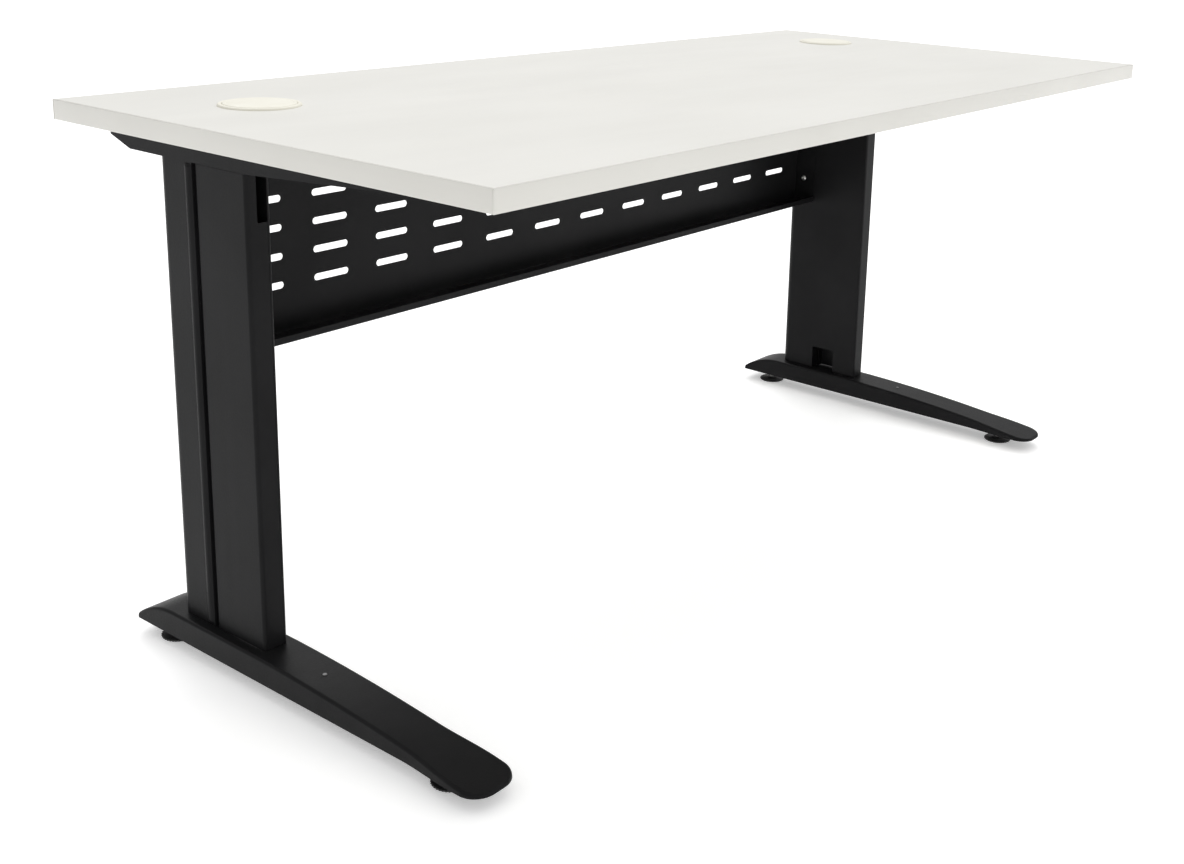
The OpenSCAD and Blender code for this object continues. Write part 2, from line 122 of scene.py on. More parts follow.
def relief(tree, height, depth, under=None):
    """Surface relief of a real depth in metres, laid over the relief under it."""
    sockets = {"Height": height, "Distance": depth}
    if under is not None:
        sockets["Normal"] = under
    return add(tree, "ShaderNodeBump", sockets).outputs["Normal"]


def dress(tree, shader, colour=None, roughness=None, normal=None):
    """Joins the worked-out colour, roughness and relief to the shader."""
    for socket, value in (("Base Color", colour), ("Roughness", roughness), ("Normal", normal)):
        if value is not None:
            tree.links.new(value, shader.inputs[socket])


def melamine_face():
    """Pale melamine: faint clouds in the paper, a fine pearl texture from the press plate."""
    finish, tree, shader, place = new_finish("melamine_face", Specular_IOR_Level=melamine_specular)
    clouds = mottle(tree, place, clouds_per_metre, detail=4, stretch=cloud_stretch)
    cloud_share = between(tree, clouds, 0, 1)
    pearl = mottle(tree, place, pearl_per_metre)
    wipes = mottle(tree, place, wipes_per_metre, detail=3, stretch=wipe_stretch)
    dress(tree, shader, tones(tree, cloud_share, melamine_pale, melamine_shade),
          between(tree, wipes, *melamine_roughness), relief(tree, pearl, pearl_depth))
    return finish


def raw_chipboard():
    """Sawn or drilled chipboard: pressed flakes of two woods."""
    finish, tree, shader, place = new_finish("raw_chipboard", Roughness=chip_roughness)
    flakes = add(tree, "ShaderNodeTexVoronoi", {"Vector": place, "Scale": flakes_per_metre})
    parted = add(tree, "ShaderNodeSeparateColor", {"Color": flakes.outputs["Color"]})
    dress(tree, shader, tones(tree, parted.outputs["Red"], chip_pale, chip_dark), None,
          relief(tree, flakes.outputs["Distance"], flake_depth))
    return finish


def block(low, high):
    """A closed box between two corners."""
    shape = bmesh.new()
    bmesh.ops.create_cube(shape, size=1)
    for vert in shape.verts:
        vert.co = Vector(h if c > 0 else l for c, l, h in zip(vert.co, low, high))
    return shape


def skin(shape, rings):
    """Faces between rings of points that lie one after another, each ring closed on itself."""
    made = [[shape.verts.new(point) for point in ring] for ring in rings]
    for near, far in zip(made, made[1:]):
        for i in range(len(near)):
            j = (i + 1) % len(near)
            shape.faces.new((near[i], near[j], far[j], far[i]))
    return made


def turn(shape, profile, seat, steps=96, trim=None):
    """A closed profile of (radius, height) turned about the seat's Z.

    trim, where given, changes a radius with the angle.
    """
    start = len(shape.verts)
    rings = []
    for step in range(steps + 1):
        angle = math.tau * step / steps
        ring = []
        for radius, height in profile:
            r = trim(radius, angle) if trim else radius
            ring.append(seat @ Vector((r * math.cos(angle), r * math.sin(angle), height)))
        rings.append(ring)
    skin(shape, rings)
    shape.verts.ensure_lookup_table()
    bmesh.ops.remove_doubles(shape, verts=shape.verts[start:], dist=same_place)


def cut_away(shape, tool):
    """What is left of one closed shape when another is cut out of it."""
    holders = []
    for name, part in (("stock", shape), ("tool", tool)):
        bmesh.ops.recalc_face_normals(part, faces=part.faces)
        mesh = bpy.data.meshes.new(name)
        part.to_mesh(mesh)
        part.free()
        holders.append(bpy.data.objects.new(name, mesh))
        bpy.context.scene.collection.objects.link(holders[-1])
    cut = holders[0].modifiers.new("cut", "BOOLEAN")
    cut.operation = "DIFFERENCE"
    cut.object = holders[1]
    left = bmesh.new()
    left.from_object(holders[0], bpy.context.evaluated_depsgraph_get())
    for holder in holders:
        bpy.data.objects.remove(holder)
    return left


def finish_piece(name, shape, *finishes, soft_below=35):
    """The shape as an object with its finishes, smooth except across its sharp edges."""
    bmesh.ops.recalc_face_normals(shape, faces=shape.faces)
    for face in shape.faces:
        face.smooth = True
    for edge in shape.edges:
        edge.smooth = (len(edge.link_faces) == 2
                       and edge.calc_face_angle() < math.radians(soft_below))
    mesh = bpy.data.meshes.new(name)
    shape.to_mesh(mesh)
    shape.free()
    for finish in finishes:
        mesh.materials.append(finish)
    piece = bpy.data.objects.new(name, mesh)
    bpy.context.scene.collection.objects.link(piece)
    return piece


def in_middle(low, high, height):
    """The point at a height on the upright line through the middle of a box."""
    return Vector(((low.x + high.x) / 2, (low.y + high.y) / 2, height))


board_low, board_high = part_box("desktop_board")
port_centres = {side: in_middle(*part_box("port_ring_" + side), board_high.z)
                for side in ("left", "right")}

drills = bmesh.new()
for centre in port_centres.values():
    bottom = board_low.z - board_high.z - hole_overshoot
    turn(drills, [(0, bottom), (port_hole_radius, bottom), (port_hole_radius, hole_overshoot),
                  (0, hole_overshoot)], Matrix.Translation(centre), steps=port_steps)
slab = cut_away(block(board_low, board_high), drills)
for face in slab.faces:
    face.normal_update()
    face.material_index = 0 if abs(face.normal.z) > looks_up_or_down else 1
board = finish_piece("board_melamine", slab, melamine_face(), raw_chipboard())
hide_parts("desktop_board")
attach(board, "frame")


# ---------------------------------------------------------------------------
# Edge bands. Strips of 2 mm plastic glued round the board: the front and
# rear ones run the full length, the end ones fit between them. Their outer
# edges are rounded by the trimmer, and a hairline shows where they join.
# ---------------------------------------------------------------------------
band_round = 0.0013
band_hairline = 0.00022
band_pale = (0.660, 0.650, 0.610, 1)
band_shade = (0.630, 0.620, 0.580, 1)
band_specular = 0.45
band_roughness = (0.34, 0.42)
drifts_per_metre = 6
stipple_per_metre = 1600
stipple_depth = 0.00005
drags_per_metre = 400
drag_stretch = (0.02, 0.02, 1)
drag_depth = 0.00006


def trimmed_plastic():
    """Extruded edge band: even tone, fine stipple, faint drag lines along the strip."""
    finish, tree, shader, place = new_finish("trimmed_plastic", Specular_IOR_Level=band_specular)
    drift = between(tree, mottle(tree, place, drifts_per_metre), 0, 1)
    stipple = mottle(tree, place, stipple_per_metre)
    drag = mottle(tree, place, drags_per_metre, detail=1, stretch=drag_stretch)
    surface = relief(tree, stipple, stipple_depth, relief(tree, drag, drag_depth))
    dress(tree, shader, tones(tree, drift, band_pale, band_shade),
          between(tree, stipple, *band_roughness), surface)
    return finish


def ease(shape, width, above=50, segments=2, only=lambda edge: True):
    """Rounds every edge that is sharper than so many degrees."""
    sharp = [edge for edge in shape.edges if len(edge.link_faces) == 2 and only(edge)
             and edge.calc_face_angle() > math.radians(above)]
    bmesh.ops.bevel(shape, geom=sharp, offset=width, segments=segments, profile=0.5,
                    affect="EDGES", clamp_overlap=True)


band_plastic = trimmed_plastic()
for side in ("front", "rear", "left", "right"):
    node = "edge_band_" + side
    low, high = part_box(node)
    axis = 1 if side in ("front", "rear") else 0
    outer = low[axis] if side in ("front", "left") else high[axis]
    strip = block(low, high)
    ease(strip, band_round, segments=4,
         only=lambda edge: all(abs(vert.co[axis] - outer) < same_place for vert in edge.verts))
    ease(strip, band_hairline)
    band = finish_piece("band_" + side, strip, band_plastic)
    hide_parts(node)
    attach(band, "frame")


# ---------------------------------------------------------------------------
# Cable port rings. Moulded in cream plastic: a flange that lies on the
# board, a seat for the cap, and a sleeve with three barbs that grip the
# drilled hole.
# ---------------------------------------------------------------------------
flange_radius = 0.050
flange_height = 0.0025
flange_nose = 0.0012
flange_nose_round = 0.0010
flange_rim = 0.0008
flange_rim_round = 0.0006
mould_round = 0.0003
seat_radius = 0.0448
seat_height = 0.0013
sleeve_outer = 0.0398
sleeve_bore = 0.0373
sleeve_depth = 0.017
sleeve_end_round = 0.0005
barb_depth = 0.0004
barb_height = 0.002
barb_levels = (-0.006, -0.010, -0.014)
cream = (0.815, 0.795, 0.700, 1)
cream_shade = (0.775, 0.750, 0.650, 1)
cream_specular = 0.5
cream_roughness = (0.36, 0.46)
flows_per_metre = 30
flow_stretch = (1, 1, 0.3)
sparks_per_metre = 2200
spark_depth = 0.00005
arc_step = 15


def moulded_cream():
    """Injection-moulded plastic: slow flow marks and a fine spark-eroded texture."""
    finish, tree, shader, place = new_finish("moulded_cream", Specular_IOR_Level=cream_specular)
    flow = mottle(tree, place, flows_per_metre, detail=3, stretch=flow_stretch)
    flow_share = between(tree, flow, 0, 1)
    spark = mottle(tree, place, sparks_per_metre)
    dress(tree, shader, tones(tree, flow_share, cream, cream_shade),
          between(tree, spark, *cream_roughness), relief(tree, spark, spark_depth))
    return finish


def rounded(corners, closed=False):
    """Points through (u, v, radius) corners, with each corner turned on an arc."""
    path = []
    for i, (u, v, radius) in enumerate(corners):
        here = Vector((u, v))
        if radius == 0 or (not closed and i in (0, len(corners) - 1)):
            path.append(here)
            continue
        coming = (here - Vector(corners[i - 1][:2])).normalized()
        going = (Vector(corners[(i + 1) % len(corners)][:2]) - here).normalized()
        bend = math.atan2(coming.x * going.y - coming.y * going.x, coming.dot(going))
        start = here - coming * radius * math.tan(abs(bend) / 2)
        centre = start + Vector((-coming.y, coming.x)) * math.copysign(radius, bend)
        steps = max(2, math.ceil(abs(bend) / math.radians(arc_step)))
        for step in range(steps + 1):
            path.append(centre + Matrix.Rotation(bend * step / steps, 2) @ (start - centre))
    return path


cream_plastic = moulded_cream()
ring_corners = [
    (sleeve_bore, seat_height, mould_round),
    (seat_radius, seat_height, mould_round),
    (seat_radius, flange_height, mould_round),
    (flange_radius - flange_nose, flange_height, flange_nose_round),
    (flange_radius, flange_rim, flange_rim_round),
    (flange_radius, 0, 0),
    (sleeve_outer, 0, 0),
]
for level in barb_levels:
    ring_corners += [
        (sleeve_outer - barb_depth, level + barb_height, 0),
        (sleeve_outer, level, 0),
        (sleeve_outer - barb_depth, level, 0),
    ]
ring_corners += [
    (sleeve_outer - barb_depth, -sleeve_depth, sleeve_end_round),
    (sleeve_bore, -sleeve_depth, sleeve_end_round),
]
for side, centre in port_centres.items():
    ring_shape = bmesh.new()
    turn(ring_shape, rounded(ring_corners, closed=True), Matrix.Translation(centre),
         steps=port_steps)
    ring = finish_piece("port_flange_" + side, ring_shape, cream_plastic)
    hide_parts("port_ring_" + side)
    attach(ring, "frame")


# ---------------------------------------------------------------------------
# Cable port caps. Each is a slightly crowned cream disc with a finger
# groove round it, and a spigot below that drops into the ring's sleeve.
# They lift out when a cable has to go through.
# ---------------------------------------------------------------------------
cap_radius = 0.0444
cap_top = 0.0035
cap_nose = 0.0009
cap_nose_round = 0.0008
cap_side_round = 0.0005
cap_foot_round = 0.0002
crown_middle = 0.020
crown_round = 0.010
crown_drop_middle = 0.00005
crown_drop_groove = 0.00015
crown_drop_nose = 0.00035
groove_radius = 0.0395
groove_depth = 0.0004
groove_half_top = 0.0010
groove_half_floor = 0.0004
groove_lip_round = 0.0004
groove_floor_round = 0.0002
spigot_radius = 0.0369
spigot_wall = 0.0018
spigot_low = -0.0077
spigot_round = 0.0004
cap_under = 0.0020

cap_corners = [
    (0, cap_top, 0),
    (crown_middle, cap_top - crown_drop_middle, crown_round),
    (groove_radius - groove_half_top, cap_top - crown_drop_groove, groove_lip_round),
    (groove_radius - groove_half_floor, cap_top - groove_depth, groove_floor_round),
    (groove_radius + groove_half_floor, cap_top - groove_depth, groove_floor_round),
    (groove_radius + groove_half_top, cap_top - crown_drop_groove, groove_lip_round),
    (cap_radius - cap_nose, cap_top - crown_drop_nose, cap_nose_round),
    (cap_radius, cap_top - cap_nose - crown_drop_nose, cap_side_round),
    (cap_radius, seat_height, cap_foot_round),
    (spigot_radius, seat_height, 0),
    (spigot_radius, spigot_low, spigot_round),
    (spigot_radius - spigot_wall, spigot_low, spigot_round),
    (spigot_radius - spigot_wall, cap_under, spigot_round),
    (0, cap_under, 0),
]
for side, centre in port_centres.items():
    cap_shape = bmesh.new()
    turn(cap_shape, rounded(cap_corners, closed=True), Matrix.Translation(centre),
         steps=port_steps)
    cap = finish_piece("port_lid_" + side, cap_shape, cream_plastic)
    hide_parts("port_cap_" + side)
    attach(cap, "port_cap_" + side)


# ---------------------------------------------------------------------------
# Board fixings. Threaded zinc inserts sit in blind holes under the board,
# and pan-head screws with a hexagon socket come up through the arms into
# them, four to an arm.
# ---------------------------------------------------------------------------
zinc_bright = (0.66, 0.66, 0.64, 1)
zinc_dull = (0.50, 0.50, 0.49, 1)
zinc_roughness = (0.26, 0.40)
zinc_clouds_per_metre = 120
scratches_per_metre = 900
scratch_stretch = (1, 0.15, 1)
scratch_depth = 0.00004
screw_head_radius = 0.006
screw_head_height = 0.004
screw_head_rim = 0.0014
screw_head_dome = 0.0012
screw_head_round = 0.0010
screw_radius = 0.003
screw_tip_round = 0.0008
screw_socket = 0.0025
screw_socket_depth = 0.0022
screw_edge_round = 0.0002
screw_steps = 36
drawing_slack = 0.00001


def zinc_plate(name, pale, dull):
    """Zinc plate on steel: cloudy tone, fine scratches left by the barrel."""
    finish, tree, shader, place = new_finish(name, Metallic=1)
    cloud = between(tree, mottle(tree, place, zinc_clouds_per_metre, detail=3), 0, 1)
    scratches = mottle(tree, place, scratches_per_metre, stretch=scratch_stretch)
    dress(tree, shader, tones(tree, cloud, pale, dull),
          between(tree, scratches, *zinc_roughness), relief(tree, scratches, scratch_depth))
    return finish


def refinish(node, finish, edge_round=0, segments=2):
    """A node that keeps its drawn shape takes a finish, and its edges may be rounded a little."""
    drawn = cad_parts[node]
    drawn.data.materials.clear()
    drawn.data.materials.append(finish)
    if edge_round:
        softened = drawn.modifiers.new("edge_round", "BEVEL")
        softened.width = edge_round
        softened.segments = segments
        softened.limit_method = "ANGLE"


def hexagonal(corner_radius):
    """Trims the radii that reach out to a hexagon's corners back to its flats."""
    flat = corner_radius * math.cos(math.pi / 6)

    def trim(radius, angle):
        if radius > corner_radius + same_place:
            return radius
        off_flat = (angle % (math.pi / 3)) - math.pi / 6
        return min(radius, flat / math.cos(off_flat))

    return trim


zinc = zinc_plate("bright_zinc", zinc_bright, zinc_dull)
refinish("top_inserts", zinc)

screws_low, screws_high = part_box("top_screws")
arm_box = {side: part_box("top_arm_" + side) for side in ("left", "right")}
screw_profile = rounded([
    (0, screw_socket_depth, 0),
    (screw_socket, screw_socket_depth, 0),
    (screw_socket, 0, screw_edge_round),
    (screw_head_radius - screw_head_dome, 0, screw_head_round),
    (screw_head_radius, screw_head_rim, screw_head_round),
    (screw_head_radius, screw_head_height, screw_edge_round),
    (screw_radius, screw_head_height, 0),
    (screw_radius, screws_high.z - screws_low.z, screw_tip_round),
    (0, screws_high.z - screws_low.z, 0),
], closed=True)
screw_ys = sorted({round(vert.co.y, 6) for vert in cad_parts["top_screws"].data.vertices
                   if abs(vert.co.x - screws_high.x) < drawing_slack})
screw_shape = bmesh.new()
for side in ("left", "right"):
    arm_x = (arm_box[side][0].x + arm_box[side][1].x) / 2
    for y in screw_ys:
        turn(screw_shape, screw_profile, Matrix.Translation((arm_x, y, screws_low.z)),
             steps=screw_steps, trim=hexagonal(screw_socket))
screws = finish_piece("board_screws", screw_shape, zinc)
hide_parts("top_screws")
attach(screws, "frame")


# ---------------------------------------------------------------------------
# Top arms. Each is a channel folded from 2 mm steel, deep at the column and
# shallow at its front end, with a sloping rear end closed by a welded plate,
# then powder-coated satin black with the rest of the steelwork.
# ---------------------------------------------------------------------------
coat_black = (0.0075, 0.0075, 0.0080, 1)
coat_worn = (0.0115, 0.0115, 0.0122, 1)
coat_specular = 0.08
coat_roughness = (0.34, 0.44)
peel_per_metre = 420
peel_depth = 0.00009
ripples_per_metre = 26
ripple_stretch = (1, 1, 0.03)
ripple_depth = 0.00035
handling_per_metre = 7
arm_edge_round = 0.0006


def black_powder_coat():
    """Satin powder coat: orange peel over long shallow ripples, a little paler where handled."""
    finish, tree, shader, place = new_finish("black_powder_coat", Specular_IOR_Level=coat_specular)
    peel = mottle(tree, place, peel_per_metre, detail=3)
    ripple = mottle(tree, place, ripples_per_metre, detail=1, stretch=ripple_stretch)
    handled = between(tree, mottle(tree, place, handling_per_metre, detail=4), 0, 1)
    surface = relief(tree, peel, peel_depth, relief(tree, ripple, ripple_depth))
    dress(tree, shader, tones(tree, handled, coat_black, coat_worn),
          between(tree, peel, *coat_roughness), surface)
    return finish


powder_coat = black_powder_coat()
for side in ("left", "right"):
    refinish("top_arm_" + side, powder_coat, arm_edge_round)


# ---------------------------------------------------------------------------
# Columns. Each is rolled from 2 mm steel: a lip, a wide web on the inner side,
# then a closed tube with a bead pressed along it. A welded strip closes the
# groove beside the cover, and the web has a square cable mouth at its foot.
# ---------------------------------------------------------------------------
column_wall = 0.002
column_lip = 0.004
column_bend = 0.003
tube_depth = 0.071
tube_corner = 0.016
bead_width = 0.015
bead_rise = 0.003
bead_gap_low = 0.002
bead_steps = 12
bead_end = 0.005
bead_end_shares = (0, 0.15, 0.4, 0.7, 1)
groove_strip_in = 0.0065
groove_strip_run = 0.0055
exit_gap = 0.003
exit_length = 0.050
exit_height = 0.046
exit_corner = 0.0025

foot_box = {side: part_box("foot_" + side) for side in ("left", "right")}
hands = {"left": -1, "right": 1}
leg_x = {side: (low.x + high.x) / 2 for side, (low, high) in foot_box.items()}


def shifted(path, gap):
    """The path moved sideways, to its left where gap is positive."""
    moved = []
    for i, here in enumerate(path):
        near = path[max(i - 1, 0):i + 2]
        runs = [(after - before).normalized() for before, after in zip(near, near[1:])]
        lefts = [Vector((-run.y, run.x)) for run in runs]
        mean = sum(lefts, Vector((0, 0))).normalized()
        moved.append(here + mean * gap / mean.dot(lefts[0]))
    return moved


def folded_sheet(shape, path_at, gap, levels, place):
    """A folded sheet along levels, its other face lying a gap to the left of the first.

    path_at gives the first face at a level, and place puts a point into the desk.
    """
    rings = []
    for level in levels:
        outer = path_at(level)
        rings.append([place(point, level) for point in outer + shifted(outer, gap)[::-1]])
    made = skin(shape, rings)
    for ring in (made[0], made[-1]):
        for i in range(len(ring) // 2 - 1):
            shape.faces.new((ring[i], ring[i + 1], ring[-2 - i], ring[-1 - i]))


def prism(shape, outline, levels, place):
    """A closed outline carried straight from one level to another, with both ends closed."""
    made = skin(shape, [[place(point, level) for point in outline] for level in levels])
    shape.faces.new(made[0])
    shape.faces.new(made[-1])


def keep_flats(piece):
    """Holds the flat faces flat beside the rolled corners that are shaded smooth."""
    piece.modifiers.new("flats", "WEIGHTED_NORMAL").keep_sharp = True


def in_leg(side):
    """Puts (outward from the leg's middle, depth) and a height into the desk."""
    def place(point, height):
        return Vector((leg_x[side] + hands[side] * point.x, point.y, height))
    return place


for side in ("left", "right"):
    low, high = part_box("column_" + side)
    half = (high.x - low.x - bead_rise) / 2
    tube_front = high.y - tube_depth
    bead_low = low.z + bead_gap_low
    bead_high = arm_box[side][0].z - bead_gap_low

    def column_path(height):
        share = min(height - bead_low, bead_high - height) / bead_end
        rise = bead_rise * math.sin(math.pi / 2 * min(max(share, 0), 1))
        bead = []
        for step in range(1, bead_steps):
            along = step / bead_steps
            proud = rise * math.sin(math.pi * along)
            bead.append(Vector((half + proud, tube_front + bead_width * (1 - along))))
        rolled = rounded([
            (-half + column_lip, low.y, 0),
            (-half, low.y, column_bend),
            (-half, high.y, tube_corner),
            (half, high.y, tube_corner),
            (half, tube_front + bead_width, 0),
        ])
        closing = [Vector((half, tube_front)), Vector((column_wall - half, tube_front))]
        return rolled + bead + closing

    ends = [bead_end * share for share in bead_end_shares]
    levels = ([low.z] + [bead_low + end for end in ends]
              + [bead_high - end for end in ends[::-1]] + [high.z])
    column_shape = bmesh.new()
    folded_sheet(column_shape, column_path, -column_wall, levels, in_leg(side))
    mouth = bmesh.new()
    exit_rear = tube_front - exit_gap
    prism(mouth, rounded([
        (exit_rear - exit_length, low.z - hole_overshoot, 0),
        (exit_rear, low.z - hole_overshoot, 0),
        (exit_rear, low.z + exit_height, exit_corner),
        (exit_rear - exit_length, low.z + exit_height, exit_corner),
    ], closed=True), (-half - hole_overshoot, 0), lambda point, across: Vector(
        (leg_x[side] + hands[side] * across, point.x, point.y)))
    column_shape = cut_away(column_shape, mouth)
    strip_in = half - groove_strip_in
    strip_out = strip_in + column_wall
    strip_front = tube_front - groove_strip_run
    prism(column_shape, [Vector(corner) for corner in (
        (strip_in, strip_front), (strip_out, strip_front),
        (strip_out, tube_front), (strip_in, tube_front))], (low.z, high.z), in_leg(side))
    column = finish_piece("column_rolled_" + side, column_shape, powder_coat)
    keep_flats(column)
    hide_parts("column_" + side)
    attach(column, "frame")


# ---------------------------------------------------------------------------
# Cable covers. A cover is folded from 1.5 mm steel round a column's outer
# side and front, with a return behind that the clips hold, and a slot at the
# top where the cables go in. It pulls off sideways.
# ---------------------------------------------------------------------------
cover_wall = 0.0015
cover_corner = 0.005
cover_return = 0.014
cover_back_bend = 0.004
entry_width = 0.014
entry_height = 0.060
entry_corner = 0.002

for side in ("left", "right"):
    low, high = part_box("cable_cover_" + side)
    outer = (high.x - leg_x[side]) if side == "right" else (leg_x[side] - low.x)
    inner = outer - (high.x - low.x)
    cover_path = rounded([
        (inner, low.y, 0),
        (outer, low.y, cover_corner),
        (outer, high.y, cover_back_bend),
        (outer - cover_return, high.y, 0),
    ])
    cover_shape = bmesh.new()
    folded_sheet(cover_shape, lambda level: cover_path, cover_wall, (low.z, high.z), in_leg(side))
    notch = bmesh.new()
    prism(notch, rounded([
        (inner - hole_overshoot, high.z + hole_overshoot, 0),
        (inner - hole_overshoot, high.z - entry_height, 0),
        (inner + entry_width, high.z - entry_height, entry_corner),
        (inner + entry_width, high.z + hole_overshoot, 0),
    ], closed=True), (low.y - hole_overshoot, low.y + hole_overshoot), lambda point, depth: Vector(
        (leg_x[side] + hands[side] * point.x, depth, point.y)))
    cover = finish_piece("cover_folded_" + side, cut_away(cover_shape, notch), powder_coat)
    keep_flats(cover)
    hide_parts("cable_cover_" + side)
    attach(cover, "cable_cover_" + side)


# ---------------------------------------------------------------------------
# Cover clips. Three moulded black blocks on each column's web, just inside
# the cover's return, that hold the cover by friction.
# ---------------------------------------------------------------------------
nylon_black = (0.010, 0.010, 0.010, 1)
nylon_grey = (0.020, 0.020, 0.020, 1)
nylon_specular = 0.45
nylon_roughness = (0.42, 0.58)
nylon_clouds_per_metre = 90
nylon_sparks_per_metre = 1500
nylon_spark_depth = 0.0001
clip_edge_round = 0.0010
clip_edge_segments = 3


def moulded_nylon():
    """Black moulded nylon: cloudy where it set, with a coarse sparked texture."""
    finish, tree, shader, place = new_finish("moulded_nylon", Specular_IOR_Level=nylon_specular)
    cloud = between(tree, mottle(tree, place, nylon_clouds_per_metre, detail=3), 0, 1)
    spark = mottle(tree, place, nylon_sparks_per_metre)
    dress(tree, shader, tones(tree, cloud, nylon_black, nylon_grey),
          between(tree, spark, *nylon_roughness), relief(tree, spark, nylon_spark_depth))
    return finish


nylon = moulded_nylon()
for side in ("left", "right"):
    refinish("cover_clips_" + side, nylon, clip_edge_round, clip_edge_segments)


# ---------------------------------------------------------------------------
# Feet. Each is one pressing of 3 mm steel, open below, with a crisp bend
# along both sides: it arches down to a thin rounded toe in front, a little
# wider than the rest, and to a short square heel behind.
# ---------------------------------------------------------------------------
foot_wall = 0.003
foot_half = 0.031
toe_half = 0.036
toe_height = 0.004
heel_height = 0.006
foot_bulge = 0.006
seat_margin = 0.002
toe_corner = 0.028
heel_corner = 0.003
toe_nose = 0.004
heel_nose = 0.0012
toe_pad = 0.040
toe_flare = 0.090
crease = 0.0040
crease_steps = 6
crown_shares = (0.66, 0.33)
nose_steps = 16
arch_steps = 44
seat_steps = 12
heel_steps = 24


def smooth_share(value, start, end):
    """0 before start, 1 after end, with an even turn between."""
    share = min(max((value - start) / (end - start), 0), 1)
    return share * share * (3 - 2 * share)


def arch_height(y, chord_start, chord_end, bulge):
    """Height on an arc that rises by bulge over the line between two (y, z) points."""
    along, rise = chord_end[0] - chord_start[0], chord_end[1] - chord_start[1]
    chord = math.hypot(along, rise)
    radius = (chord * chord / 4 + bulge * bulge) / (2 * bulge)
    drop = radius - bulge
    centre_y = (chord_start[0] + chord_end[0]) / 2 + drop * rise / chord
    centre_z = (chord_start[1] + chord_end[1]) / 2 - drop * along / chord
    return centre_z + math.sqrt(radius * radius - (y - centre_y) ** 2)


for side in ("left", "right"):
    low, high = foot_box[side]
    column_low, column_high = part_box("column_" + side)
    flat_start, flat_end = column_low.y - seat_margin, column_high.y + seat_margin
    toe, heel, sole, top = low.y, high.y, low.z, high.z
    heel_run, heel_drop = heel - flat_end, top - sole - heel_height
    heel_radius = (heel_run ** 2 + heel_drop ** 2) / (2 * heel_drop)

    def foot_top(y):
        if y < flat_start:
            return arch_height(y, (toe, sole + toe_height), (flat_start, top), foot_bulge)
        if y <= flat_end:
            return top
        return top - heel_radius + math.sqrt(heel_radius ** 2 - (y - flat_end) ** 2)

    def foot_half_width(y):
        past_toe = smooth_share(y - toe, toe_pad, toe_pad + toe_flare)
        width = toe_half + (foot_half - toe_half) * past_toe
        for end, corner in ((y - toe, toe_corner), (heel - y, heel_corner)):
            if end < corner:
                width -= corner - math.sqrt(max(0, corner ** 2 - (corner - end) ** 2))
        return width

    def foot_section(y):
        height, half = foot_top(y) - sole, foot_half_width(y)
        for end, nose in ((y - toe, toe_nose), (heel - y, heel_nose)):
            if end < nose:
                height *= math.sqrt(max(0, 1 - (1 - end / nose) ** 2))
        turned = min(crease, height)
        run = [(half, sole)]
        for step in range(crease_steps + 1):
            angle = math.pi / 2 * step / crease_steps
            run.append((half - crease * (1 - math.cos(angle)),
                        sole + height - turned * (1 - math.sin(angle))))
        run += [((half - crease) * share, sole + height) for share in crown_shares]
        return ([Vector((leg_x[side] + hands[side] * u, y, z)) for u, z in run]
                + [Vector((leg_x[side], y, sole + height))]
                + [Vector((leg_x[side] - hands[side] * u, y, z)) for u, z in run[::-1]])

    nose_stations = [toe + toe_corner * (1 - math.cos(math.pi / 2 * step / nose_steps))
                     for step in range(nose_steps + 1)]
    arch_stations = [toe + toe_corner + (flat_start - toe - toe_corner) * step / arch_steps
                     for step in range(1, arch_steps + 1)]
    seat_stations = [flat_start + (flat_end - flat_start) * step / seat_steps
                     for step in range(1, seat_steps)]
    heel_stations = [flat_end + heel_run * math.sin(math.pi / 2 * step / heel_steps)
                     for step in range(heel_steps + 1)]
    foot_shape = bmesh.new()
    rows = [[foot_shape.verts.new(point) for point in foot_section(y)]
            for y in nose_stations + arch_stations + seat_stations + heel_stations]
    for near, far in zip(rows, rows[1:]):
        for i in range(len(near) - 1):
            foot_shape.faces.new((near[i], near[i + 1], far[i + 1], far[i]))
    bmesh.ops.remove_doubles(foot_shape, verts=foot_shape.verts, dist=same_place)
    foot = finish_piece("foot_pressed_" + side, foot_shape, powder_coat, soft_below=60)
    plate = foot.modifiers.new("plate", "SOLIDIFY")
    plate.thickness = foot_wall
    plate.offset = -1
    keep_flats(foot)
    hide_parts("foot_" + side)
    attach(foot, "frame")


# ---------------------------------------------------------------------------
# Foot fixings. A tapped steel plate is welded inside the foot of each tube,
# two hexagon bolts come up through the foot into it, and a small plug fills
# the hole that the press jig leaves in the foot.
# ---------------------------------------------------------------------------
plate_edge_round = 0.0005
plug_pale = (0.16, 0.16, 0.16, 1)
plug_dull = (0.11, 0.11, 0.11, 1)

for node in ("base_plate_left", "base_plate_right", "foot_bolts"):
    refinish(node, zinc, plate_edge_round)
refinish("foot_plugs", zinc_plate("dull_zinc", plug_pale, plug_dull))


# ---------------------------------------------------------------------------
# Glides. Under each end of a foot a steel plate carries a hexagon nut, and
# a threaded stud runs through both down to a black nylon base with a ribbed
# rim to turn it by.
# ---------------------------------------------------------------------------
stud_radius = 0.004
thread_pitch = 0.00125
thread_depth = 0.0007
thread_around = 24
thread_along = 8
rim_ribs = 36
rim_depth = 0.0011
rim_inside = 0.021
rib_fullness = 0.7
steps_per_rib = 8
pad_edge = 0.0012
pad_edge_round = 0.0006
rim_share = 0.52
rim_round = 0.0008
shoulder_share = 0.60
shoulder_in = 0.0040
shoulder_round = 0.0010
neck_share = 0.80
neck_radius = 0.0110
neck_round = 0.0020
collar_radius = 0.0090
collar_round = 0.0005
nut_corner = 0.0075
nut_bevel_in = 0.0010
nut_bevel_up = 0.0007
nut_countersink = 0.0004
nut_steps = 72


